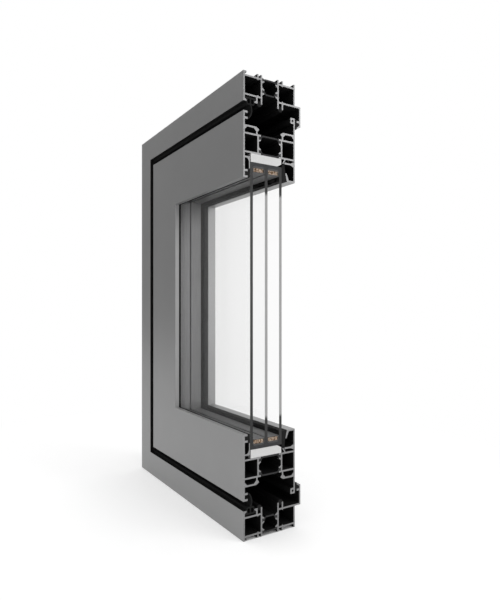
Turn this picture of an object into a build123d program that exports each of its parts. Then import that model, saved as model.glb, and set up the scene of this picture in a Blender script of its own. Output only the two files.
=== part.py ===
from build123d import *
import os

# A cut-away sample of an aluminium bi-fold door: the left jamb, head and sill of the outer
# frame with the same three sides of one leaf, its triple glazing and its glazing beads.
# The corners on the left are mitred and the right end is a plain cut through every piece.
# Sections are drawn with x as depth from the outside face and y as distance inward from
# the outer edge, so one section serves the head, the jamb and the sill. Millimetres.

# The whole sample
sample_height = 542.0
sample_width = 293.0
system_depth = 77.0
flange_step = 9.0

# Faces seen from outside, measured inward from the outer edge
frame_face = 34.7
shadow_gap = 11.3
leaf_face = 76.7

# Aluminium walls and the jaws that are crimped on the polyamide strips
wall = 2.0
jaw_root = 2.9
jaw_nose = 0.8
crimp_gap = 0.1

# Polyamide strips
strip_thickness = 1.8
foot_half = 1.9
neck_half = 1.35
foot_reach = 2.4
strip_shoulder = 1.6

# Frame, the two aluminium shells and the gap between them
frame_outer_depth = 27.0
frame_inner_depth = 27.2
foot_height = 4.1
toe_reach = 2.5
toe_height = 1.8
foot_gap = 3.2
frame_chamber = 19.7
cleat_rib = 1.0
slot_width = 4.7
groove_lip_reach = 2.6
groove_lip_tip = 1.4
groove_lip_slope = 1.6
outer_strip_foot = 4.9
outer_strip_line = 4.4
inner_strip_foot = 19.0
inner_strip_line = 22.0

# The flange of the frame that overlaps the leaf on the inside
flange_length = 24.7
flange_lip_reach = 4.0
flange_lip_height = 2.4
flange_lip_drop = 3.4
flange_seal_seat = 4.6

# Leaf, the two aluminium shells
leaf_outer_depth = 22.0
leaf_inner_depth = 21.8
edge_hook_reach = 4.0
edge_hook_height = 2.4
second_hook = 7.0
hat_top = 16.0
hat_chamber = 6.6
hat_inset = 18.3
hat_slope = 3.4
hat_hook = 2.0
hat_hook_drop = 2.4
hat_hook_nose = 1.0
leaf_chamber = 19.4
leaf_strip_inset = 1.9
top_line_rise = 1.0
pocket_height = 4.1
glazing_leg = 12.0
glazing_leg_depth = 9.2
glazing_leg_tip = 1.2
glazing_leg_root = 3.7
glazing_leg_bend = 5.5
seal_hook = 9.3
bulb_size = 7.0
bulb_rise = 4.6
bulb_hole = 2.9
bulb_round = 1.2
leaf_skirt = 1.3
clip_lean = 4.2
clip_drop = 5.4
clip_wall = 1.5

# Small cover strips that close the slots of the frame
cover_tongue = 3.0
cover_gap = 0.15

# Rubber seals
seal_gap = 0.3
rebate_foot = 3.6
rebate_body = 3.8
rebate_round = 2.0
rebate_wall = 1.15
rebate_arm = 1.7
rebate_bulge = 12.6
flange_seal_rise = 2.1

# Triple glazing
foam_thickness = 9.8
foam_end = 1.3
foam_corner_height = 3.2
foam_corner_width = 6.0
pane = 4.0
glass_line = 9.5
glass_edge_gap = 0.3
edge_seal = 4.0
spacer_height = 7.5
spacer_wall = 0.5
spacer_back = 1.7
spacer_front = 0.8
spacer_corner = 2.0
spacer_hollow_corner = 1.6
spacer_side_gap = 0.3

# Glazing bead and the two glazing seals
bead_joint = 0.3
bead_recess = 2.2
bead_depth = 16.5
bead_nose = 1.25
bead_nose_inset = 1.4
bead_shoulder = 5.0
bead_head = 1.7
bead_head_wall = 1.6
bead_slope = 3.9
bead_slant = 8.2
inner_seal_width = 4.2
inner_seal_shoulder = 4.0

SIDES = ("head", "jamb", "sill")

# Places that follow from the sizes above
overall_depth = system_depth + flange_step
frame_break = system_depth - frame_outer_depth - frame_inner_depth
leaf_break = system_depth - leaf_outer_depth - leaf_inner_depth
cut_x = sample_width / 2
outside_y = -overall_depth / 2
jaw_reach = foot_reach + jaw_nose

chamber_floor = foot_height + wall
frame_ledge = chamber_floor + frame_chamber
groove_floor = frame_ledge + wall
inner_shell = frame_outer_depth + frame_break
outer_leg = frame_outer_depth - wall - slot_width
inner_leg = inner_shell + wall + slot_width
flange_inside = overall_depth - wall
flange_end = frame_ledge + flange_length
flange_lips = flange_inside - flange_lip_reach
flange_seat = flange_end - flange_seal_seat

leaf_edge = frame_face + shadow_gap
leaf_end = leaf_edge + leaf_face
hat_line = leaf_edge + hat_top
hat_floor = hat_line + wall
leaf_top_web = hat_floor + hat_chamber
leaf_chamber_top = leaf_top_web + wall
leaf_low_web = leaf_chamber_top + leaf_chamber
leaf_low_face = leaf_low_web + wall
leaf_inner = leaf_outer_depth + leaf_break
top_strip_foot = leaf_chamber_top + leaf_strip_inset
low_strip_foot = leaf_low_web - leaf_strip_inset
top_strip_line = leaf_top_web + top_line_rise
low_strip_line = leaf_low_face - strip_thickness / 2 - 2 * crimp_gap
bead_top = leaf_low_face + leaf_skirt + bead_joint
bead_end = leaf_end - bead_recess
bead_from = system_depth - bead_depth
pocket_floor = leaf_low_face + pocket_height
leg_end = pocket_floor + wall + glazing_leg

foam_top = leaf_low_face + crimp_gap
glass_edge = foam_top + foam_thickness + glass_edge_gap
glass_inside = bead_from - inner_seal_width
cavity = (glass_inside - glass_line - 3 * pane) / 2
pane_starts = [glass_line + i * (pane + cavity) for i in range(3)]
spacer_line = glass_edge + edge_seal


# Placing a section on one side of the door, and cutting its mitres

def section_plane(side):
    """The plane of a side's section: x is depth, y is the way in from the outer edge."""
    if side == "head":
        return Plane(origin=(cut_x, outside_y, sample_height), x_dir=(0, 1, 0), z_dir=(-1, 0, 0))
    if side == "jamb":
        return Plane(origin=(-cut_x, outside_y, sample_height), x_dir=(0, 1, 0), z_dir=(0, 0, -1))
    return Plane(origin=(-cut_x, outside_y, 0), x_dir=(0, 1, 0), z_dir=(1, 0, 0))


def run_length(side):
    """How far a side's section runs before its mitres are cut."""
    return sample_height if side == "jamb" else sample_width


def cut_mitres(side):
    """Cuts the part being built at the 45 degree corners that its side ends in."""
    top_corner = Plane(origin=(-cut_x, 0, sample_height), z_dir=(1, 0, 1))
    bottom_corner = Plane(origin=(-cut_x, 0, 0), z_dir=(1, 0, -1))
    if side == "head":
        split(bisect_by=top_corner, keep=Keep.TOP)
    if side == "sill":
        split(bisect_by=bottom_corner, keep=Keep.TOP)
    if side == "jamb":
        split(bisect_by=top_corner, keep=Keep.BOTTOM)
        split(bisect_by=bottom_corner, keep=Keep.BOTTOM)


def make_sides(name, draw_section):
    """Runs one section along the head, the jamb and the sill, a mitred piece for each."""
    for side in SIDES:
        with BuildPart() as bar:
            with BuildSketch(section_plane(side)):
                draw_section()
            extrude(amount=run_length(side))
            cut_mitres(side)
        bar.part.label = f"{name}_{side}"
        export_step(bar.part, f"parts/{name}_{side}.step")


# Strokes that the sections are drawn with

def web(x_from, x_to, y_from, y_to):
    """A straight wall of a section, given by its two faces each way."""
    with Locations((x_from, y_from)):
        Rectangle(x_to - x_from, y_to - y_from, align=(Align.MIN, Align.MIN))


def jaw(face, way, centre, side):
    """One crimped jaw with a round nose on the wall at depth face, beside the foot at centre."""
    inner_root = centre + side * (foot_half + crimp_gap)
    inner_tip = centre + side * (neck_half + crimp_gap)
    nose = face + way * foot_reach
    Polygon(
        (face, inner_root),
        (nose, inner_tip),
        (nose, inner_tip + side * 2 * jaw_nose),
        (face, inner_root + side * jaw_root),
    )
    with Locations((nose, inner_tip + side * jaw_nose)):
        Circle(jaw_nose)


def thermal_strip(x_from, x_to, foot_line, body_line):
    """A polyamide strip: a dovetail foot at each shell and a body set over by its shoulders."""
    half = strip_thickness / 2
    for face, way in ((x_from, 1), (x_to, -1)):
        neck = face + way * foot_reach
        Polygon(
            (face, foot_line - foot_half),
            (face, foot_line + foot_half),
            (neck, foot_line + neck_half),
            (neck, foot_line - neck_half),
        )
        bend = face + way * (jaw_reach + strip_shoulder / 2)
        turn = bend + way * strip_shoulder
        web(min(face, bend), max(face, bend), foot_line - half, foot_line + half)
        Polygon(
            (bend - way * strip_shoulder / 2, foot_line - half),
            (bend - way * strip_shoulder / 2, foot_line + half),
            (turn, body_line + half),
            (turn, body_line - half),
        )
    middle_from = x_from + jaw_reach + 1.5 * strip_shoulder
    middle_to = x_to - jaw_reach - 1.5 * strip_shoulder
    web(middle_from, middle_to, body_line - half, body_line + half)


# The frame

def groove_lip(wall_face, way):
    """A lip at the mouth of the seal groove, sloped on the side of the seal's foot."""
    Polygon(
        (wall_face, frame_face),
        (wall_face, frame_face - groove_lip_tip - groove_lip_slope),
        (wall_face + way * groove_lip_reach, frame_face - groove_lip_tip),
        (wall_face + way * groove_lip_reach, frame_face),
    )


def cleat_ribs(x):
    """Two half-round ribs across a frame chamber that guide the corner cleat."""
    with Locations((x, chamber_floor), (x, frame_ledge)):
        Circle(cleat_rib)


def frame_outer_section():
    """The outside shell: face, feet, chamber, seal groove and the slot beside it."""
    back = frame_outer_depth - wall
    web(0, wall, 0, frame_face)
    web(0, wall + toe_reach, 0, toe_height)
    web(0, frame_outer_depth, foot_height, chamber_floor)
    web(back - foot_gap - wall, back - foot_gap, 0, foot_height)
    web(back, frame_outer_depth, 0, frame_face)
    web(0, frame_outer_depth, frame_ledge, groove_floor)
    web(outer_leg - wall, outer_leg, groove_floor, frame_face)
    groove_lip(wall, 1)
    groove_lip(outer_leg - wall, -1)
    cleat_ribs(back - foot_gap - wall / 2)
    jaw(frame_outer_depth, 1, outer_strip_foot, 1)
    jaw(frame_outer_depth, 1, inner_strip_foot, -1)
    jaw(frame_outer_depth, 1, inner_strip_foot, 1)


def frame_inner_section():
    """The inside shell: feet, chamber, slot and the flange that overlaps the leaf."""
    web(inner_shell, inner_shell + wall, 0, frame_face)
    web(inner_leg, inner_leg + wall, 0, foot_height)
    web(inner_shell, system_depth, foot_height, chamber_floor)
    web(system_depth - wall, system_depth, 0, groove_floor)
    web(inner_shell, overall_depth, frame_ledge, groove_floor)
    web(inner_leg, inner_leg + wall, groove_floor, frame_face)
    cleat_ribs(inner_leg + wall / 2)
    web(flange_inside, overall_depth, frame_ledge, flange_end)
    web(flange_lips, flange_inside, flange_seat - flange_lip_height, flange_seat)
    Polygon(
        (overall_depth, flange_end - flange_lip_height),
        (overall_depth, flange_end),
        (flange_lips, flange_end + flange_lip_drop),
        (flange_lips, flange_end + flange_lip_drop - flange_lip_height),
    )
    jaw(inner_shell, -1, outer_strip_foot, 1)
    jaw(inner_shell, -1, inner_strip_foot, -1)
    jaw(inner_shell, -1, inner_strip_foot, 1)


def slot_cover(x_from):
    """A domed cover with a tongue that fills the slot from x_from."""
    shoulder = slot_width / 2 + wall / 2
    with Locations((x_from + slot_width / 2, frame_face)):
        Circle(shoulder)
        Rectangle(2 * shoulder, shoulder, align=(Align.CENTER, Align.MAX), mode=Mode.SUBTRACT)
    web(x_from + cover_gap, x_from + slot_width - cover_gap, frame_face - cover_tongue, frame_face)


def frame_break_section():
    """The two polyamide strips of the frame and the covers of its two slots."""
    thermal_strip(frame_outer_depth, inner_shell, outer_strip_foot, outer_strip_line)
    thermal_strip(frame_outer_depth, inner_shell, inner_strip_foot, inner_strip_line)
    slot_cover(outer_leg)
    slot_cover(inner_shell + wall)


# The leaf

def hat(face, way):
    """The raised chamber on a leaf shell, with a small hook on its far corner."""
    side_wall = face + way * hat_inset
    outer_side = side_wall + way * wall
    tip = outer_side + way * hat_hook
    tip_line = hat_line + hat_hook_drop
    web(min(face, side_wall), max(face, side_wall), hat_line, hat_floor)
    Polygon(
        (side_wall - way * hat_slope, hat_line),
        (side_wall, hat_line),
        (tip, tip_line),
        (tip, tip_line + hat_hook_nose),
        (outer_side, tip_line + hat_hook_nose + hat_hook),
        (side_wall, hat_floor + hat_slope),
        (side_wall - way * hat_slope, hat_floor),
    )
    Polygon(
        (face + way * wall, hat_line),
        (face + way * (wall + hat_slope), hat_line),
        (face + way * (wall + hat_slope), hat_floor),
        (face + way * wall, hat_floor + hat_slope),
    )
    web(min(side_wall, outer_side), max(side_wall, outer_side), hat_floor, leaf_top_web)


def leaf_outer_section():
    """The outside shell of the leaf: face, hooks, chambers and the groove of the glazing seal."""
    web(0, wall, leaf_edge, leaf_end)
    web(wall, wall + edge_hook_reach, leaf_edge, leaf_edge + edge_hook_height)
    second = leaf_edge + second_hook
    web(wall, wall + edge_hook_reach, second, second + edge_hook_height)
    hat(0, 1)
    web(0, leaf_outer_depth + jaw_reach, leaf_top_web, leaf_chamber_top)
    web(leaf_outer_depth - wall, leaf_outer_depth, leaf_top_web, leaf_low_face)
    web(0, leaf_outer_depth + jaw_reach, leaf_low_web, leaf_low_face)
    jaw(leaf_outer_depth, 1, top_strip_foot, 1)
    jaw(leaf_outer_depth, 1, low_strip_foot, -1)
    web(0, glazing_leg_depth, pocket_floor, pocket_floor + wall)
    leg_root = (glazing_leg_depth - glazing_leg_root, pocket_floor + wall)
    leg_bend = (glazing_leg_depth - glazing_leg_tip, leg_root[1] + glazing_leg_bend)
    with BuildLine() as leg:
        Polyline(leg_root, (glazing_leg_depth, leg_root[1]), (glazing_leg_depth, leg_end),
                 (leg_bend[0], leg_end), leg_bend)
        TangentArc(leg_bend, leg_root, tangent=(0, -1))
    make_face(leg.edges())
    hook_from = leaf_end - seal_hook
    web(wall, wall + edge_hook_reach, hook_from, hook_from + edge_hook_height)
    web(wall, wall + edge_hook_reach, leaf_end - wall, leaf_end)


def leaf_inner_section():
    """The inside shell of the leaf: face, bulb on its edge, chambers and the bead's seat."""
    inside = system_depth - wall
    bulb_top = leaf_edge - bulb_rise
    web(inside, system_depth, bulb_top + bulb_size / 2, leaf_low_face + leaf_skirt)
    with Locations((system_depth - bulb_size / 2, bulb_top + bulb_size / 2)):
        RectangleRounded(bulb_size, bulb_size, bulb_round)
        Circle(bulb_hole / 2, mode=Mode.SUBTRACT)
    hat(system_depth, -1)
    web(leaf_inner - jaw_reach, system_depth, leaf_top_web, leaf_chamber_top)
    web(leaf_inner, leaf_inner + wall, leaf_top_web, leaf_low_face)
    web(leaf_inner - jaw_reach, system_depth, leaf_low_web, leaf_low_face)
    jaw(leaf_inner, -1, top_strip_foot, 1)
    jaw(leaf_inner, -1, low_strip_foot, -1)
    clip_root = (bead_from + bead_nose_inset + seal_gap, leaf_low_face)
    clip_tip = (clip_root[0] - clip_lean, clip_root[1] + clip_drop)
    trace(Edge.make_line((clip_root[0], clip_root[1] - wall / 2), clip_tip), line_width=clip_wall)


def leaf_break_section():
    """The two polyamide strips of the leaf."""
    thermal_strip(leaf_outer_depth, leaf_inner, top_strip_foot, top_strip_line)
    thermal_strip(leaf_outer_depth, leaf_inner, low_strip_foot, low_strip_line)


def bead_section():
    """The glazing bead: a hollow bar with a slanted side towards the glass."""
    inside = system_depth - wall
    web(inside, system_depth, bead_top, bead_end)
    nose = bead_from + bead_nose_inset
    with Locations((nose, bead_top + 1.5 * wall)):
        Circle(bead_nose)
    web(nose, system_depth, bead_top + wall, bead_top + 2 * wall)
    Polygon(
        (inside - bead_shoulder, bead_top + wall),
        (inside, bead_top),
        (inside, bead_top + 3 * wall),
        (inside - bead_shoulder, bead_top + 2 * wall),
    )
    web(bead_from + bead_slope + wall, system_depth, bead_end - wall, bead_end)
    head = bead_from + bead_head
    foot = bead_from + bead_slope
    Polygon(
        (head, bead_end - wall - bead_slant),
        (head + bead_head_wall, bead_end - wall - bead_slant),
        (foot + 1.5 * wall, bead_end - wall),
        (foot + 1.5 * wall, bead_end),
        (foot, bead_end),
    )


# Seals

def rebate_seal_section():
    """The outside seal: a hollow foot in the frame's groove and an arched arm to the leaf."""
    groove_to = outer_leg - wall
    neck_from = wall + groove_lip_reach + cover_gap
    neck_to = groove_to - groove_lip_reach - cover_gap
    lip_line = frame_face - groove_lip_tip - cover_gap
    foot_top = lip_line - groove_lip_slope - rebate_foot / 2
    Polygon(
        (wall + cover_gap, foot_top),
        (groove_to - cover_gap, foot_top),
        (groove_to - cover_gap, lip_line - groove_lip_slope),
        (neck_to, lip_line),
        (neck_from, lip_line),
        (wall + cover_gap, lip_line - groove_lip_slope),
    )
    body_end = frame_face + rebate_body
    centre = (neck_from + neck_to) / 2
    with Locations((centre, (foot_top + body_end) / 2)):
        RectangleRounded(neck_to - neck_from, body_end - foot_top, rebate_round)
    hooks = wall + edge_hook_reach + seal_gap
    half = rebate_arm / 2
    arm_end = (hooks + half, leaf_edge + second_hook + edge_hook_height / 2)
    arm_bulge = (rebate_bulge - half, leaf_edge)
    SlotArc(
        Edge.make_three_point_arc((centre - half, body_end - rebate_arm), arm_bulge, arm_end),
        height=rebate_arm,
    )
    hollow = (neck_to - neck_from - rebate_arm) / 2 - rebate_wall
    step = (hollow + rebate_arm) / 2
    with Locations((centre, (foot_top + body_end) / 2)):
        with Locations((-step, 0), (step, 0)):
            RectangleRounded(hollow, body_end - foot_top - 2 * rebate_arm,
                             rebate_arm / 2, mode=Mode.SUBTRACT)


def flange_seal_section():
    """The inside seal: a foot between the flange's lips and a flap that rests on the leaf."""
    foot_from = flange_seat + cover_gap
    lip_slope = flange_lip_drop / (overall_depth - flange_lips)
    lip_back = flange_end + lip_slope * wall - flange_lip_height - cover_gap
    lip_front = flange_end + flange_lip_drop - flange_lip_height - cover_gap
    leaf_side = system_depth + seal_gap
    flap = flange_lips - cover_gap
    Polygon(
        (flap, foot_from),
        (flange_inside - cover_gap, foot_from),
        (flange_inside - cover_gap, lip_back),
        (flap, lip_front),
    )
    flap_end = flange_end + flange_lip_drop
    Polygon(
        (leaf_side, foot_from - flange_seal_rise),
        (flap, foot_from - flange_seal_rise),
        (flap, flap_end),
        (leaf_side, flap_end + lip_slope * (flap - leaf_side)),
    )


def outer_glazing_seal_section():
    """The seal of the outside pane: a foot between two hooks and a body against the glass."""
    foot_from = leaf_end - seal_hook + edge_hook_height + cover_gap
    foot_to = leaf_end - wall - cover_gap
    body_from = wall + edge_hook_reach + cover_gap
    web(wall + cover_gap, body_from, foot_from, foot_to)
    web(body_from, glass_line - seal_gap, leg_end + seal_gap, leaf_end - seal_gap)


def inner_glazing_seal_section():
    """The wedge seal between the inside pane and the glazing bead."""
    glass_side = glass_inside + seal_gap
    seal_top = leaf_low_face + clip_drop + clip_wall
    head_from = bead_from + bead_head - seal_gap
    Polygon(
        (glass_side, seal_top),
        (glass_side + inner_seal_shoulder, seal_top),
        (head_from, bead_end - wall - bead_slant),
        (bead_from + bead_slope - seal_gap, bead_end),
        (glass_side, bead_end),
    )


# Glazing

def foam_section():
    """The white foam strip round the glazing, its inside corner cut off."""
    foam_from = glazing_leg_depth + foam_end
    foam_to = glass_inside - foam_end / 2
    foam_low = foam_top + foam_thickness
    Polygon(
        (foam_from, foam_top),
        (foam_to, foam_top),
        (foam_to, foam_low - foam_corner_height),
        (foam_to - foam_corner_width, foam_low),
        (foam_from, foam_low),
    )


def cavities():
    """Where each of the two gaps between the panes starts and ends in depth."""
    return [(start + pane, start + pane + cavity) for start in pane_starts[:2]]


def edge_seal_section():
    """The dark sealant behind the spacers, from pane to pane."""
    for left, right in cavities():
        corner = spacer_side_gap + spacer_corner
        low = spacer_line - crimp_gap
        Polygon(
            (left + crimp_gap, glass_edge),
            (right - crimp_gap, glass_edge),
            (right - crimp_gap, low + spacer_corner),
            (right - corner, low),
            (left + corner, low),
            (left + crimp_gap, low + spacer_corner),
        )


def cut_box(from_x, to_x, near, far, corner, mode=Mode.ADD):
    """A box whose two corners on the near side are cut off."""
    Polygon(
        (from_x, near + corner),
        (from_x + corner, near),
        (to_x - corner, near),
        (to_x, near + corner),
        (to_x, far),
        (from_x, far),
        mode=mode,
    )


def spacer_section():
    """The two hollow spacer bars between the panes, with cut corners towards the sealant."""
    end = spacer_line + spacer_height
    for left, right in cavities():
        cut_box(left + spacer_side_gap, right - spacer_side_gap, spacer_line, end, spacer_corner)
        side = spacer_side_gap + spacer_wall
        cut_box(left + side, right - side, spacer_line + spacer_back, end - spacer_front,
                spacer_hollow_corner, mode=Mode.SUBTRACT)


def desiccant_section():
    """The drying grains that fill the spacer bars."""
    side = spacer_side_gap + spacer_wall + crimp_gap
    near = spacer_line + spacer_back + crimp_gap
    far = spacer_line + spacer_height - spacer_front - crimp_gap
    for left, right in cavities():
        cut_box(left + side, right - side, near, far, spacer_hollow_corner)


def make_pane(name, depth):
    """One sheet of glass, from the bottom of its pocket to the top, cut off on the right."""
    with BuildPart() as sheet:
        with BuildSketch(Plane.XZ.offset(-(outside_y + depth + pane))):
            with Locations((-cut_x + glass_edge, glass_edge)):
                Rectangle(sample_width - glass_edge, sample_height - 2 * glass_edge,
                          align=(Align.MIN, Align.MIN))
        extrude(amount=pane)
    sheet.part.label = name
    export_step(sheet.part, f"parts/{name}.step")


os.makedirs("parts", exist_ok=True)
make_sides("frame_outer", frame_outer_section)
make_sides("frame_inner", frame_inner_section)
make_sides("frame_thermal_break", frame_break_section)
make_sides("leaf_outer", leaf_outer_section)
make_sides("leaf_inner", leaf_inner_section)
make_sides("leaf_thermal_break", leaf_break_section)
make_sides("glazing_bead", bead_section)
make_sides("rebate_seal", rebate_seal_section)
make_sides("flange_seal", flange_seal_section)
make_sides("outer_glazing_seal", outer_glazing_seal_section)
make_sides("inner_glazing_seal", inner_glazing_seal_section)
make_sides("foam_strip", foam_section)
make_sides("edge_sealant", edge_seal_section)
make_sides("spacer_bar", spacer_section)
make_sides("desiccant", desiccant_section)
for pane_name, pane_depth in zip(("outside_pane", "middle_pane", "inside_pane"), pane_starts):
    make_pane(pane_name, pane_depth)
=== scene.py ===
"""Finishes, drying grains and studio for a cut-away sample of an aluminium bi-fold door."""

import math
import random

import bpy
from bpy.props import FloatProperty, FloatVectorProperty, IntProperty, PointerProperty
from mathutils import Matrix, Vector


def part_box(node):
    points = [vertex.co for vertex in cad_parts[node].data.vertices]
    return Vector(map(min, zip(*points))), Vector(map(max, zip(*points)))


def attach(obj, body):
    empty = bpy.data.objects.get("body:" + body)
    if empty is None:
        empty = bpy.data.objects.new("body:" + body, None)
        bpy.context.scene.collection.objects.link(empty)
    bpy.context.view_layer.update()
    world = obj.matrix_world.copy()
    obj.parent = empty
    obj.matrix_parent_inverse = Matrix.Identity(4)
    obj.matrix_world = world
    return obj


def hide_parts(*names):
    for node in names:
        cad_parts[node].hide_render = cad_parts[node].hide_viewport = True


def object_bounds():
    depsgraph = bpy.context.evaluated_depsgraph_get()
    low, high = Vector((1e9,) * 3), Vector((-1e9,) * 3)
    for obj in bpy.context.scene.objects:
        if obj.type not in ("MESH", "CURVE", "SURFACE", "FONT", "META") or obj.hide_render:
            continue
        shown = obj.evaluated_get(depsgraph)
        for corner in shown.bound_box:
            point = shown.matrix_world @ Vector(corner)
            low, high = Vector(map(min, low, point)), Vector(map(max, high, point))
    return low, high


bl_info = {
    "name": "Bi-fold door sample",
    "version": (1, 0, 0),
    "blender": (4, 5, 0),
    "location": "View3D > Sidebar > Door sample",
    "description": "Dresses the profiles, seals and glazing of a cut-away bi-fold door sample",
    "category": "Object",
}

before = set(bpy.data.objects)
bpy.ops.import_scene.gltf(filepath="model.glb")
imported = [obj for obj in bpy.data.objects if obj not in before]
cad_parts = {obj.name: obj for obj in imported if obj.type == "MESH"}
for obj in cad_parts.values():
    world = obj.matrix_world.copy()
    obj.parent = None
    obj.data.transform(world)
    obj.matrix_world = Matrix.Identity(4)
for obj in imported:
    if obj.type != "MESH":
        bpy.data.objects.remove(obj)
CAD_BOX = [list(corner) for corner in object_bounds()]
CUT_X = CAD_BOX[1][0]
OUTSIDE_Y = CAD_BOX[0][1]
HEIGHT = CAD_BOX[1][2]
SIDES = ("head", "jamb", "sill")

# Depths and inward distances of the section, in metres, read from the frame
INSIDE_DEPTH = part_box("leaf_inner_head")[1][1] - OUTSIDE_Y
LEAF_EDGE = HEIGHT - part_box("leaf_outer_head")[1][2]
LEAF_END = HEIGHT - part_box("leaf_outer_head")[0][2]
BEAD_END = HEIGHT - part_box("glazing_bead_head")[0][2]
COVER_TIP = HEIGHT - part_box("frame_thermal_break_head")[0][2]

# Reach of the slot covers, of the leaf's outer lip and of the frame's feet, in metres
COVER_HEIGHT = 0.0055
LIP_DEPTH = 0.0065
FOOT_ZONE = 0.0063

# How near counts as in one plane and as one point, in metres
NEAR = 0.0003
SAME_POINT = 0.00001

# Least share of a normal along an axis, on a face that looks that way and on a square cut
FACING = 0.7
SQUARE = 0.99

# Places in a piece's list of materials
SKIN, CUT = 0, 1

# The third place, on a profile for its near-black painted shade, and on a frame's thermal break
PAINTED_SHADE = 2
COVER = 2

# Drying grains, as shares of a grain's diameter
GRAIN_RADII = (0.44, 0.52)
WALL_GAP = 0.52
GRAIN_STEP = 0.96
LAYER_STEP = 0.8

# Rows of grains, as shares of the step within a row
ROW_STEP = 0.88
ROW_SHIFT = 0.5
ROW_OVERHANG = 0.2

# The most that a grain is turned, in radians, and the seed of all that is random
MOST_TURN = 3.0
GRAIN_SEED = 14

# Studio floor and dark screen, in metres, with the distances where the floor turns white
FLOOR_RADIUS = 12.0
FLOOR_FADE = (0.2, 0.6)
SCREEN_SIZE = (3.2, 2.0)
SCREEN_PLACE = (-1.9, -1.05, 1.0)

# Each light's name, its place, the point that it faces, and its sides, in metres
LIGHTS = (
    ("side_light", (1.4, 0.62, 0.34), (0.0, 0.0, 0.3), (0.9, 0.7)),
    ("rim_light", (0.75, 0.65, 0.85), (CUT_X, 0.0, 0.5), (0.3, 0.3)),
    ("top_light", (-0.15, -0.25, 1.7), (-0.1, -0.1, 0.0), (1.6, 1.6)),
)

# Width of the camera's sensor, in millimetres
SENSOR_WIDTH = 36.0


# Properties a user would change

class DoorSampleFinish(bpy.types.PropertyGroup):
    """Colours and roughness of the sample's finishes."""
    coat_colour: FloatVectorProperty(
        name="Powder coat", description="Colour of the coated outside and inside faces",
        subtype="COLOR", size=3, min=0.0, max=1.0, default=(0.303, 0.303, 0.304))
    coat_roughness: FloatProperty(
        name="Coat roughness", description="How matt the powder coat is",
        subtype="FACTOR", min=0.0, max=1.0, default=0.38)
    cut_colour: FloatVectorProperty(
        name="Cut aluminium", description="Colour of the bare metal on the saw-cut ends",
        subtype="COLOR", size=3, min=0.0, max=1.0, default=(0.22, 0.22, 0.222))
    # Near-black painted shade for the faces inside the chambers and rebates
    painted_shade_colour: FloatVectorProperty(
        name="Chamber walls", description="Colour of the walls inside the hollow profiles",
        subtype="COLOR", size=3, min=0.0, max=1.0, default=(0.006, 0.006, 0.006))
    rubber_colour: FloatVectorProperty(
        name="Seal rubber", description="Colour of the rubber seals",
        subtype="COLOR", size=3, min=0.0, max=1.0, default=(0.01, 0.01, 0.01))
    polyamide_colour: FloatVectorProperty(
        name="Polyamide", description="Colour of the thermal break strips",
        subtype="COLOR", size=3, min=0.0, max=1.0, default=(0.03, 0.03, 0.031))
    foam_colour: FloatVectorProperty(
        name="Foam", description="Colour of the foam strip round the glazing",
        subtype="COLOR", size=3, min=0.0, max=1.0, default=(0.66, 0.66, 0.655))
    spacer_colour: FloatVectorProperty(
        name="Spacer bar", description="Colour of the bars between the panes",
        subtype="COLOR", size=3, min=0.0, max=1.0, default=(0.14, 0.14, 0.141))
    grain_colour: FloatVectorProperty(
        name="Drying grains", description="Colour of the grains inside the spacer bars",
        subtype="COLOR", size=3, min=0.0, max=1.0, default=(0.61, 0.51, 0.42))
    edge_colour: FloatVectorProperty(
        name="Ground glass edge", description="Colour of the ground ends of the inner panes",
        subtype="COLOR", size=3, min=0.0, max=1.0, default=(0.36, 0.36, 0.36))


class DoorSampleGrains(bpy.types.PropertyGroup):
    """Sizes of the drying grains at the cut ends of the spacer bars."""
    diameter: FloatProperty(
        name="Grain", description="Diameter of a grain", subtype="DISTANCE", unit="LENGTH",
        min=0.0005, max=0.003, default=0.00125)
    recess: FloatProperty(
        name="Recess", description="How far the grains lie behind the cut",
        subtype="DISTANCE", unit="LENGTH", min=0.0, max=0.01, default=0.0004)
    layers: IntProperty(
        name="Layers", description="How many layers of grains show at a cut end",
        min=1, max=4, default=2)
    jitter: FloatProperty(
        name="Jitter", description="How far a grain lies off its place in the row",
        subtype="FACTOR", min=0.0, max=0.5, default=0.16)


class DoorSampleStudio(bpy.types.PropertyGroup):
    """Camera, lights and the brightness of what surrounds the sample."""
    camera_place: FloatVectorProperty(
        name="Camera", description="Where the camera stands", subtype="TRANSLATION",
        unit="LENGTH", size=3, default=(0.5952, -0.3619, 0.2704))
    camera_turn: FloatProperty(
        name="Camera turn", description="Which way the level camera looks, about the vertical",
        subtype="ANGLE", default=math.radians(60.53))
    lens: FloatProperty(
        name="Lens", description="Focal length for a 36 mm sensor", unit="CAMERA", default=28.63)
    shift_x: FloatProperty(
        name="Shift across", description="Sideways shift of the camera's frame", default=0.0937)
    shift_y: FloatProperty(
        name="Shift up", description="Upward shift of the camera's frame", default=0.0106)
    side_power: FloatProperty(
        name="Side light", description="Power of the wide light beside the cut end",
        unit="POWER", min=0.0, default=5.8)
    rim_power: FloatProperty(
        name="Rim light", description="Power of the light behind and above the cut end",
        unit="POWER", min=0.0, default=1.3)
    top_power: FloatProperty(
        name="Top light", description="Power of the light overhead that lights the floor",
        unit="POWER", min=0.0, default=5.0)
    floor_lift: FloatProperty(
        name="Floor lift", description="How much paler than its light the floor looks",
        subtype="FACTOR", min=0.0, max=1.0, default=0.34)
    world_strength: FloatProperty(
        name="World", description="Strength of the even light from all round",
        subtype="FACTOR", min=0.0, max=1.0, default=0.62)
    mirrored: FloatProperty(
        name="Mirrored room", description="How bright the room is that the glass mirrors",
        subtype="FACTOR", min=0.0, max=1.0, default=0.34)


# Helpers for materials

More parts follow.
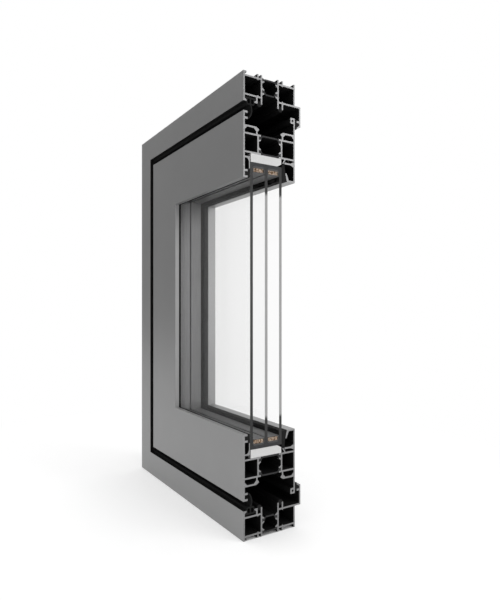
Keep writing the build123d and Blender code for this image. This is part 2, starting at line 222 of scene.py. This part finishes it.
def new_finish(name, colour, roughness, metallic=0.0, specular=0.5):
    """A material of one colour, roughness and gloss, with its node tree and its shader."""
    material = bpy.data.materials.new(name)
    material.use_nodes = True
    shader = material.node_tree.nodes["Principled BSDF"]
    shader.inputs["Base Color"].default_value = (*colour, 1.0)
    shader.inputs["Roughness"].default_value = roughness
    shader.inputs["Metallic"].default_value = metallic
    shader.inputs["Specular IOR Level"].default_value = specular
    return material, material.node_tree, shader


def object_noise(tree, scale, detail=3.0, stretch=(1.0, 1.0, 1.0)):
    """A noise pattern on the object's own coordinates, stretched along its axes."""
    place = tree.nodes.new("ShaderNodeTexCoord")
    mapping = tree.nodes.new("ShaderNodeMapping")
    mapping.inputs["Scale"].default_value = stretch
    noise = tree.nodes.new("ShaderNodeTexNoise")
    noise.inputs["Scale"].default_value = scale
    noise.inputs["Detail"].default_value = detail
    tree.links.new(place.outputs["Object"], mapping.inputs["Vector"])
    tree.links.new(mapping.outputs["Vector"], noise.inputs["Vector"])
    return noise.outputs["Fac"]


def combine(tree, operation, first, second):
    """The result of a maths node fed by two sockets, or by a socket and a number."""
    node = tree.nodes.new("ShaderNodeMath")
    node.operation = operation
    for socket, value in zip(node.inputs, (first, second)):
        if isinstance(value, float):
            socket.default_value = value
        else:
            tree.links.new(value, socket)
    return node.outputs[0]


def add_bump(tree, shader, pattern, depth):
    """Raises the surface by a pattern, depth metres at most."""
    bump = tree.nodes.new("ShaderNodeBump")
    bump.inputs["Distance"].default_value = depth
    tree.links.new(pattern, bump.inputs["Height"])
    tree.links.new(bump.outputs["Normal"], shader.inputs["Normal"])


def vary_colour(tree, shader, pattern, stops):
    """Lets the colour follow a pattern through (place, colour) stops."""
    ramp = tree.nodes.new("ShaderNodeValToRGB")
    elements = ramp.color_ramp.elements
    while len(elements) < len(stops):
        elements.new(0.5)
    for element, (place, colour) in zip(elements, stops):
        element.position = place
        element.color = (*colour, 1.0)
    tree.links.new(pattern, ramp.inputs["Fac"])
    tree.links.new(ramp.outputs["Color"], shader.inputs["Base Color"])


def vary_roughness(tree, shader, pattern, low, high):
    """Lets the roughness drift between two values with a pattern."""
    spread = tree.nodes.new("ShaderNodeMapRange")
    spread.inputs["To Min"].default_value = low
    spread.inputs["To Max"].default_value = high
    tree.links.new(pattern, spread.inputs["Value"])
    tree.links.new(spread.outputs["Result"], shader.inputs["Roughness"])


def shade(colour, factor):
    """A colour made lighter or darker by a factor."""
    return tuple(min(1.0, channel * factor) for channel in colour)


def drift(colour, low, high):
    """Two stops of a colour made darker and lighter, for a soft pattern."""
    return ((0.3, shade(colour, low)), (0.7, shade(colour, high)))


# Finishes of the profiles

def powder_coat(finish):
    """Fine matt powder coat with a faint orange peel."""
    rough = finish.coat_roughness
    material, tree, shader = new_finish("powder_coat", finish.coat_colour, rough, metallic=0.3)
    peel = object_noise(tree, scale=900.0)
    clouds = object_noise(tree, scale=25.0)
    vary_colour(tree, shader, clouds, drift(finish.coat_colour, 0.985, 1.015))
    vary_roughness(tree, shader, peel, rough - 0.05, rough + 0.05)
    add_bump(tree, shader, peel, depth=0.00001)
    return material


def sawn_aluminium(finish):
    """Bare metal on the cut ends, with the fine strokes of the saw."""
    material, tree, shader = new_finish("sawn_aluminium", finish.cut_colour,
                                        roughness=0.4, metallic=0.6)
    strokes = object_noise(tree, scale=700.0, detail=4.0, stretch=(1.0, 0.12, 2.0))
    vary_colour(tree, shader, strokes, drift(finish.cut_colour, 0.85, 1.15))
    vary_roughness(tree, shader, strokes, 0.32, 0.5)
    add_bump(tree, shader, strokes, depth=0.00002)
    return material


def painted_chamber_shade(finish):
    """Near-black painted shade on the walls inside the hollow profiles, which stand dark and
    unlit.
    """
    tone = finish.painted_shade_colour
    material, tree, shader = new_finish("painted_chamber_shade", tone, roughness=0.7, specular=0.15)
    draw_lines = object_noise(tree, scale=400.0, stretch=(0.05, 1.0, 1.0))
    vary_colour(tree, shader, draw_lines, drift(tone, 0.8, 1.3))
    return material


# Finishes of the thermal breaks, seals and foam, each as its skin and its cut end

def polyamide(finish):
    """Glass-filled black plastic: its drawn skin, and its sawn end with short pale fibres."""
    materials = []
    for name, factor, stretch in (("polyamide_skin", 0.15, (0.05, 1.0, 1.0)),
                                  ("polyamide_end", 1.0, (1.0, 0.4, 1.0))):
        tone = shade(finish.polyamide_colour, factor)
        material, tree, shader = new_finish(name, tone, roughness=0.65, specular=0.15)
        fibres = object_noise(tree, scale=1400.0, detail=2.0, stretch=stretch)
        vary_colour(tree, shader, fibres, drift(tone, 0.8, 1.3))
        add_bump(tree, shader, fibres, depth=0.00002)
        materials.append(material)
    return materials


def seal_rubber(finish):
    """Matt black rubber: its smooth skin with a faint bloom, and its cut end."""
    materials = []
    for name, factor, scale in (("rubber_skin", 1.0, 500.0), ("rubber_end", 1.25, 1500.0)):
        tone = shade(finish.rubber_colour, factor)
        material, tree, shader = new_finish(name, tone, roughness=0.8, specular=0.08)
        bloom = object_noise(tree, scale)
        vary_colour(tree, shader, bloom, drift(tone, 0.8, 1.4))
        add_bump(tree, shader, bloom, depth=0.00002)
        materials.append(material)
    return materials


def white_foam(finish):
    """Closed-cell foam, its cells a little under a millimetre across, skin and cut alike."""
    material, tree, shader = new_finish("white_foam", finish.foam_colour, roughness=0.8)
    place = tree.nodes.new("ShaderNodeTexCoord")
    cells = tree.nodes.new("ShaderNodeTexVoronoi")
    cells.inputs["Scale"].default_value = 1300.0
    tree.links.new(place.outputs["Object"], cells.inputs["Vector"])
    vary_colour(tree, shader, cells.outputs["Distance"], drift(finish.foam_colour, 0.93, 1.03))
    add_bump(tree, shader, cells.outputs["Distance"], depth=0.0001)
    return material, material


# Finishes of the glazing

def edge_sealant():
    """Dark sealant behind the spacer bars."""
    tone = (0.03, 0.031, 0.033)
    material, tree, shader = new_finish("edge_sealant", tone, roughness=0.6, specular=0.2)
    drag = object_noise(tree, scale=600.0, stretch=(0.3, 1.0, 1.0))
    vary_colour(tree, shader, drag, drift(tone, 0.75, 1.35))
    add_bump(tree, shader, drag, depth=0.00004)
    return material


def spacer_bar(finish):
    """Satin grey bar between the panes, and its cut end that the sealant has smeared."""
    materials = []
    for name, factor, roughness, metallic in (("spacer_bar", 1.35, 0.4, 0.25),
                                              ("spacer_end", 0.3, 0.6, 0.0)):
        tone = shade(finish.spacer_colour, factor)
        material, tree, shader = new_finish(name, tone, roughness, metallic)
        roll = object_noise(tree, scale=600.0, stretch=(0.05, 1.0, 0.05))
        vary_colour(tree, shader, roll, drift(tone, 0.9, 1.1))
        add_bump(tree, shader, roll, depth=0.00001)
        materials.append(material)
    return materials


def drying_grain(finish):
    """Tan grains, some of them orange or dark brown."""
    tan = Vector(finish.grain_colour)
    orange = Vector((tan.x * 0.75, tan.y * 0.5, tan.z * 0.28))
    material, tree, shader = new_finish("drying_grain", tan, roughness=0.8)
    kinds = object_noise(tree, scale=420.0, detail=1.0)
    vary_colour(tree, shader, kinds,
                ((0.38, orange * 0.3), (0.45, orange), (0.52, tan), (0.62, tan * 1.3)))
    pits = object_noise(tree, scale=3000.0)
    add_bump(tree, shader, pits, depth=0.00005)
    return material


def clear_glass():
    """Clear float glass."""
    tone = (0.995, 0.996, 0.995)
    material, tree, shader = new_finish("clear_glass", tone, roughness=0.0)
    shader.inputs["IOR"].default_value = 1.5
    shader.inputs["Transmission Weight"].default_value = 1.0
    shader.inputs["Specular Tint"].default_value = (0.1, 0.1, 0.1, 1.0)
    waves = object_noise(tree, scale=8.0)
    vary_colour(tree, shader, waves, drift(tone, 0.995, 1.005))
    return material


def polished_edge():
    """The dark polished end of the outside pane."""
    tone = (0.03, 0.031, 0.031)
    material, tree, shader = new_finish("polished_glass_edge", tone,
                                        roughness=0.3, specular=0.15)
    waves = object_noise(tree, scale=300.0, stretch=(1.0, 1.0, 0.1))
    vary_colour(tree, shader, waves, drift(tone, 0.85, 1.15))
    add_bump(tree, shader, waves, depth=0.00001)
    return material


def ground_edge(finish):
    """The pale ground end of an inner pane, dark where the edge seals shadow it."""
    material, tree, shader = new_finish("ground_glass_edge", finish.edge_colour,
                                        roughness=0.6, specular=0.1)
    place = tree.nodes.new("ShaderNodeTexCoord")
    axes = tree.nodes.new("ShaderNodeSeparateXYZ")
    tree.links.new(place.outputs["Object"], axes.inputs["Vector"])
    above = combine(tree, "SUBTRACT", axes.outputs["Z"], HEIGHT / 2)
    apart = combine(tree, "ABSOLUTE", above, 0.0)
    part = combine(tree, "DIVIDE", apart, HEIGHT / 2)
    pale, dark = tuple(finish.edge_colour), shade(finish.edge_colour, 0.12)
    shadow_starts, shadow_full = 0.478, 0.492
    vary_colour(tree, shader, part, ((shadow_starts, pale), (shadow_full, dark)))
    grit = object_noise(tree, scale=4000.0)
    add_bump(tree, shader, grit, depth=0.00002)
    return material


# Which finish a face of the frame's nodes gets

def put_finish(node_name, materials, choose=None):
    """Gives a node its materials, and each face the one that choose names."""
    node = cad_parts[node_name]
    node.data.materials.clear()
    for material in materials:
        node.data.materials.append(material)
    for face in node.data.polygons:
        face.material_index = choose(node_name, face) if choose else SKIN


def section_place(node_name, point, normal):
    """Depth, inward distance and the two parts of the normal for a point of one side's bar."""
    depth = point.y - OUTSIDE_Y
    if node_name.endswith("head"):
        return depth, HEIGHT - point.z, normal.y, -normal.z
    if node_name.endswith("sill"):
        return depth, point.z, normal.y, normal.z
    return depth, point.x + CUT_X, normal.y, normal.x


def is_cut(face):
    """Whether a face lies in the plane where the sample is sawn off."""
    return face.normal.x > SQUARE and face.center.x > CUT_X - NEAR


def metal_face(node_name, face):
    """Which finish a face of a profile has: its coated skin, cut, or near-black painted shade
    where it is hidden in a chamber.
    """
    if is_cut(face):
        return CUT
    depth, inward, out_normal, in_normal = section_place(node_name, face.center, face.normal)
    end = BEAD_END if node_name.startswith("glazing_bead") else LEAF_END
    outside = out_normal < -FACING and depth < NEAR
    inside = out_normal > FACING and depth > INSIDE_DEPTH - NEAR
    foot = in_normal < -FACING and inward < FOOT_ZONE
    opening = in_normal > FACING and abs(inward - end) < NEAR
    leaf_lip = depth < LIP_DEPTH and in_normal < -FACING and abs(inward - LEAF_EDGE) < NEAR
    flange = depth > INSIDE_DEPTH + NEAR and abs(in_normal) > FACING
    if outside or inside or foot or opening or leaf_lip or flange:
        return SKIN
    # Any other face, hidden in a chamber or rebate, gets the painted shade
    return PAINTED_SHADE


def cut_or_skin(node_name, face):
    """Which finish a face of a solid bar or pane has: its skin, or that of its cut end."""
    return CUT if is_cut(face) else SKIN


def break_face(node_name, face):
    """The same for a frame's thermal break, whose slot covers have a darker cut end."""
    inward = section_place(node_name, face.center, face.normal)[1]
    cover = is_cut(face) and inward > COVER_TIP - COVER_HEIGHT
    return COVER if cover else cut_or_skin(node_name, face)


# Drying grains

def merged_copy(context, node_name):
    """A selected copy of a node, with the points that its faces share made one."""
    bpy.ops.object.select_all(action="DESELECT")
    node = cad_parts[node_name]
    piece = bpy.data.objects.new(node_name, node.data.copy())
    piece.matrix_world = node.matrix_world.copy()
    context.scene.collection.objects.link(piece)
    context.view_layer.objects.active = piece
    piece.select_set(True)
    bpy.ops.object.mode_set(mode="EDIT")
    bpy.ops.mesh.select_all(action="SELECT")
    bpy.ops.mesh.remove_doubles(threshold=SAME_POINT)
    bpy.ops.object.mode_set(mode="OBJECT")
    return piece


def end_boxes(piece):
    """The low and high corners of each bar's cut end, one box per gap between the panes."""
    points = [v.co for v in piece.data.vertices if v.co.x > CUT_X - NEAR]
    middle = sum(p.y for p in points) / len(points)
    boxes = []
    for group in ([p for p in points if p.y < middle], [p for p in points if p.y > middle]):
        ys, zs = [p.y for p in group], [p.z for p in group]
        boxes.append(((min(ys), min(zs)), (max(ys), max(zs))))
    return boxes


def grain_places(low, high, sizes, dice):
    """Places of the grains in one cut end, layer by layer and row by row."""
    step = sizes.diameter * GRAIN_STEP
    spread = sizes.jitter * sizes.diameter
    inset = sizes.diameter * WALL_GAP
    width, height = high[0] - low[0] - 2 * inset, high[1] - low[1] - 2 * inset
    across, along = int(width / step), int(height / (step * ROW_STEP))
    for layer in range(sizes.layers):
        x = CUT_X - sizes.recess - sizes.diameter * (0.5 + LAYER_STEP * layer)
        for row in range(along + 1):
            z = low[1] + inset + height * row / max(1, along)
            shift = ROW_SHIFT * step * ((row + layer) % 2)
            for column in range(across + 1):
                y = low[0] + inset + shift + step * column
                if y < high[0] - inset + ROW_OVERHANG * step:
                    yield (x - abs(dice.gauss(0.0, spread)),
                           y + dice.uniform(-spread, spread),
                           z + dice.uniform(-spread, spread))


def bars_with_grains(context, node_name, sizes):
    """A copy of a node's bars, shortened at the cut, with grains in front of them."""
    piece = merged_copy(context, node_name)
    boxes = end_boxes(piece)
    back = CUT_X - sizes.recess - sizes.layers * sizes.diameter
    for vertex in piece.data.vertices:
        if vertex.co.x > CUT_X - NEAR:
            vertex.co.x = back
    bpy.ops.object.mode_set(mode="EDIT")
    dice = random.Random(GRAIN_SEED)
    for low, high in boxes:
        for place in grain_places(low, high, sizes, dice):
            radius = sizes.diameter * dice.uniform(*GRAIN_RADII)
            turn = (dice.uniform(0.0, MOST_TURN), dice.uniform(0.0, MOST_TURN), 0.0)
            bpy.ops.mesh.primitive_ico_sphere_add(subdivisions=1, radius=radius,
                                                  location=place, rotation=turn)
    bpy.ops.object.mode_set(mode="OBJECT")
    return piece


# Studio

def glow(tree, node_type, strength):
    """A plain white emission or background of some strength."""
    node = tree.nodes.new(node_type)
    node.inputs["Color"].default_value = (1.0, 1.0, 1.0, 1.0)
    node.inputs["Strength"].default_value = strength
    return node.outputs[0]


def blend(tree, factor, first, second):
    """A mix shader from first to second."""
    mix = tree.nodes.new("ShaderNodeMixShader")
    tree.links.new(factor, mix.inputs["Fac"])
    tree.links.new(first, mix.inputs[1])
    tree.links.new(second, mix.inputs[2])
    return mix.outputs["Shader"]


def by_ray(tree, shown, mirrored, lit, target):
    """Feeds target with one of three shaders by the kind of ray.

    Camera, gloss and glass rays get shown, those that glass has mirrored get mirrored.
    A ray that has left a matt surface counts as light, also behind glass, and gets lit.
    """
    none_or_some = 0.5  # Depths are whole numbers, so this tells 0 from the rest
    path = tree.nodes.new("ShaderNodeLightPath").outputs
    seen = combine(tree, "MAXIMUM", path["Is Camera Ray"], path["Is Glossy Ray"])
    seen = combine(tree, "MAXIMUM", seen, path["Is Transmission Ray"])
    direct = combine(tree, "LESS_THAN", path["Diffuse Depth"], none_or_some)
    bounced = combine(tree, "GREATER_THAN", path["Glossy Depth"], none_or_some)
    sharp = combine(tree, "MULTIPLY", bounced, path["Is Singular Ray"])
    visible = blend(tree, sharp, shown, mirrored)
    either = blend(tree, combine(tree, "MULTIPLY", seen, direct), lit, visible)
    tree.links.new(either, target)


def painted_shadow_mask(tree, place):
    """1 on the floor between the feet of the sill, where the floor's lift is left out as a
    painted shadow, and 0 round it.
    """
    split = tree.nodes.new("ShaderNodeSeparateXYZ")
    tree.links.new(place, split.inputs[0])
    depth = combine(tree, "SUBTRACT", split.outputs["Y"], OUTSIDE_Y + INSIDE_DEPTH / 2.0)
    between = []
    for distance, reach in ((split.outputs["X"], CUT_X), (depth, INSIDE_DEPTH / 2.0)):
        away = combine(tree, "ABSOLUTE", distance, 0.0)
        between.append(combine(tree, "LESS_THAN", away, reach - NEAR))
    return combine(tree, "MULTIPLY", *between)


def floor_material(studio):
    """White floor that keeps the sample's shadow, with a painted shadow under the sample, and
    fades to plain white far away.
    """
    material, tree, shader = new_finish("studio_floor", (0.9, 0.9, 0.9),
                                        roughness=0.9, specular=0.0)
    lit = shader.outputs[0]
    place = tree.nodes.new("ShaderNodeTexCoord").outputs["Object"]
    # Under the sample the floor gets no lift, which paints a shadow on the floor there
    lift = blend(tree, painted_shadow_mask(tree, place),
                 glow(tree, "ShaderNodeEmission", studio.floor_lift),
                 glow(tree, "ShaderNodeEmission", 0.0))
    near = tree.nodes.new("ShaderNodeAddShader")
    tree.links.new(lit, near.inputs[0])
    tree.links.new(lift, near.inputs[1])
    reach = tree.nodes.new("ShaderNodeVectorMath")
    reach.operation = "LENGTH"
    fade = tree.nodes.new("ShaderNodeMapRange")
    fade.inputs["From Min"].default_value, fade.inputs["From Max"].default_value = FLOOR_FADE
    tree.links.new(place, reach.inputs[0])
    tree.links.new(reach.outputs["Value"], fade.inputs["Value"])
    shown = blend(tree, fade.outputs["Result"], near.outputs[0],
                  glow(tree, "ShaderNodeEmission", 1.0))
    mirrored = glow(tree, "ShaderNodeEmission", studio.mirrored)
    by_ray(tree, shown, mirrored, lit, tree.nodes["Material Output"].inputs["Surface"])
    return material


def add_floor(context, studio):
    """Lays the pale floor under the sample."""
    bpy.ops.object.select_all(action="DESELECT")
    bpy.ops.mesh.primitive_circle_add(vertices=96, radius=FLOOR_RADIUS, fill_type="NGON",
                                      location=(0.0, 0.0, 0.0))
    floor = context.active_object
    floor.name = "studio_floor"
    floor.data.materials.append(floor_material(studio))


def screen_material():
    """Dark cloth that the matt coat mirrors and that the clear glass doesn't."""
    tone = (0.05, 0.05, 0.05)
    material, tree, shader = new_finish("studio_screen", tone, roughness=1.0, specular=0.0)
    weave = object_noise(tree, scale=200.0)
    vary_colour(tree, shader, weave, drift(tone, 0.9, 1.1))
    path = tree.nodes.new("ShaderNodeLightPath").outputs
    clear = tree.nodes.new("ShaderNodeBsdfTransparent").outputs[0]
    tree.links.new(blend(tree, path["Is Singular Ray"], shader.outputs[0], clear),
                   tree.nodes["Material Output"].inputs["Surface"])
    return material


def add_screen(context):
    """Stands the dark screen on the outside of the sample, where only gloss shows it."""
    bpy.ops.object.select_all(action="DESELECT")
    bpy.ops.mesh.primitive_plane_add(size=1.0, location=(0.0, 0.0, 0.0))
    screen = context.active_object
    screen.name = "studio_screen"
    bpy.ops.object.mode_set(mode="EDIT")
    bpy.ops.transform.resize(value=(*SCREEN_SIZE, 1.0))
    bpy.ops.transform.rotate(value=math.radians(90.0), orient_axis="X",
                             center_override=(0.0, 0.0, 0.0))
    bpy.ops.transform.translate(value=SCREEN_PLACE)
    bpy.ops.object.mode_set(mode="OBJECT")
    screen.data.materials.append(screen_material())
    screen.visible_camera = screen.visible_diffuse = False
    screen.visible_shadow = screen.visible_transmission = False


def add_light(context, name, place, target, sides, power):
    """A soft rectangular light that faces a point and doesn't show through the glass."""
    data = bpy.data.lights.new(name, "AREA")
    data.shape = "RECTANGLE"
    data.size, data.size_y = sides
    data.energy = power
    light = bpy.data.objects.new(name, data)
    light.location = place
    light.rotation_euler = (Vector(target) - Vector(place)).to_track_quat("-Z", "Y").to_euler()
    light.visible_transmission = False
    context.scene.collection.objects.link(light)


def light_world(context, studio):
    """An even world that is white to the camera and softer as a light."""
    world = bpy.data.worlds.new("studio")
    context.scene.world = world
    world.use_nodes = True
    tree = world.node_tree
    shown, mirrored, lit = (glow(tree, "ShaderNodeBackground", strength)
                            for strength in (1.0, studio.mirrored, studio.world_strength))
    by_ray(tree, shown, mirrored, lit, tree.nodes["World Output"].inputs["Surface"])


def add_camera(context, studio):
    """Sets up a level camera that looks from where the photograph was taken."""
    data = bpy.data.cameras.new("camera")
    data.lens = studio.lens
    data.sensor_width = SENSOR_WIDTH
    data.shift_x = studio.shift_x
    data.shift_y = studio.shift_y
    camera = bpy.data.objects.new("camera", data)
    camera.location = studio.camera_place
    camera.rotation_euler = (math.radians(90.0), 0.0, studio.camera_turn)
    context.scene.collection.objects.link(camera)
    context.scene.camera = camera


# Operators

class DOORSAMPLE_OT_profiles(bpy.types.Operator):
    """Coats the aluminium profiles, bares their cut ends and paints shade on their hidden faces
    """
    bl_idname = "doorsample.profiles"
    bl_label = "Finish the profiles"

    def execute(self, context):
        finish = context.scene.door_sample_finish
        metals = (powder_coat(finish), sawn_aluminium(finish), painted_chamber_shade(finish))
        for bar in ("frame_outer", "frame_inner", "leaf_outer", "leaf_inner", "glazing_bead"):
            for side in SIDES:
                put_finish(f"{bar}_{side}", metals, metal_face)
        return {"FINISHED"}


class DOORSAMPLE_OT_seals(bpy.types.Operator):
    """Gives the thermal breaks, rubber seals and foam their finish"""
    bl_idname = "doorsample.seals"
    bl_label = "Finish the seals and thermal breaks"

    def execute(self, context):
        finish = context.scene.door_sample_finish
        plastic, rubber, foam = polyamide(finish), seal_rubber(finish), white_foam(finish)
        soft = {
            "leaf_thermal_break": plastic,
            "rebate_seal": rubber,
            "flange_seal": rubber,
            "outer_glazing_seal": rubber,
            "inner_glazing_seal": rubber,
            "foam_strip": foam,
        }
        for side in SIDES:
            put_finish(f"frame_thermal_break_{side}", (*plastic, rubber[CUT]), break_face)
            for bar, materials in soft.items():
                put_finish(f"{bar}_{side}", materials, cut_or_skin)
        return {"FINISHED"}


class DOORSAMPLE_OT_glazing(bpy.types.Operator):
    """Gives the panes, spacer bars and sealant their finish"""
    bl_idname = "doorsample.glazing"
    bl_label = "Finish the glazing"

    def execute(self, context):
        finish = context.scene.door_sample_finish
        sealant, spacer = edge_sealant(), spacer_bar(finish)
        for side in SIDES:
            put_finish(f"edge_sealant_{side}", (sealant,))
            put_finish(f"spacer_bar_{side}", spacer, cut_or_skin)
        glass, polished, ground = clear_glass(), polished_edge(), ground_edge(finish)
        for pane, end in (("outside_pane", polished), ("middle_pane", ground),
                          ("inside_pane", ground)):
            put_finish(pane, (glass, end), cut_or_skin)
            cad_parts[pane].visible_shadow = False
        return {"FINISHED"}


class DOORSAMPLE_OT_grains(bpy.types.Operator):
    """Fills the cut ends of the spacer bars with single drying grains"""
    bl_idname = "doorsample.grains"
    bl_label = "Add the drying grains"

    def execute(self, context):
        finish, sizes = context.scene.door_sample_finish, context.scene.door_sample_grains
        material = drying_grain(finish)
        put_finish("desiccant_jamb", (material,))
        for side in ("head", "sill"):
            piece = bars_with_grains(context, f"desiccant_{side}", sizes)
            piece.name = f"drying_grains_{side}"
            piece.data.materials.clear()
            piece.data.materials.append(material)
            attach(piece, "root")
            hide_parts(f"desiccant_{side}")
        return {"FINISHED"}


class DOORSAMPLE_OT_studio(bpy.types.Operator):
    """Adds the floor, the dark screen, the lights, the world and the camera"""
    bl_idname = "doorsample.studio"
    bl_label = "Add the studio"

    def execute(self, context):
        studio = context.scene.door_sample_studio
        add_floor(context, studio)
        add_screen(context)
        powers = (studio.side_power, studio.rim_power, studio.top_power)
        for light, power in zip(LIGHTS, powers):
            add_light(context, *light, power)
        light_world(context, studio)
        add_camera(context, studio)
        context.scene.view_settings.view_transform = "Standard"
        return {"FINISHED"}


# Panel and registration

class DOORSAMPLE_PT_panel(bpy.types.Panel):
    """Lists the steps that dress the sample, and what a user would change."""
    bl_idname = "DOORSAMPLE_PT_panel"
    bl_label = "Door sample"
    bl_space_type = "VIEW_3D"
    bl_region_type = "UI"
    bl_category = "Door sample"

    def draw(self, context):
        scene = context.scene
        for operator in OPERATORS:
            self.layout.operator(operator.bl_idname)
        for group in (scene.door_sample_finish, scene.door_sample_grains,
                      scene.door_sample_studio):
            for name in group.bl_rna.properties.keys():
                if name not in ("rna_type", "name"):
                    self.layout.prop(group, name)


OPERATORS = (
    DOORSAMPLE_OT_profiles,
    DOORSAMPLE_OT_seals,
    DOORSAMPLE_OT_glazing,
    DOORSAMPLE_OT_grains,
    DOORSAMPLE_OT_studio,
)
GROUPS = (DoorSampleFinish, DoorSampleGrains, DoorSampleStudio)
CLASSES = (*GROUPS, *OPERATORS, DOORSAMPLE_PT_panel)


def register():
    for cls in CLASSES:
        bpy.utils.register_class(cls)
    bpy.types.Scene.door_sample_finish = PointerProperty(type=DoorSampleFinish)
    bpy.types.Scene.door_sample_grains = PointerProperty(type=DoorSampleGrains)
    bpy.types.Scene.door_sample_studio = PointerProperty(type=DoorSampleStudio)


def unregister():
    del bpy.types.Scene.door_sample_studio
    del bpy.types.Scene.door_sample_grains
    del bpy.types.Scene.door_sample_finish
    for cls in reversed(CLASSES):
        bpy.utils.unregister_class(cls)


def main():
    register()
    bpy.ops.doorsample.profiles()
    bpy.ops.doorsample.seals()
    bpy.ops.doorsample.glazing()
    bpy.ops.doorsample.grains()
    bpy.ops.doorsample.studio()


if __name__ == "__main__":
    main()
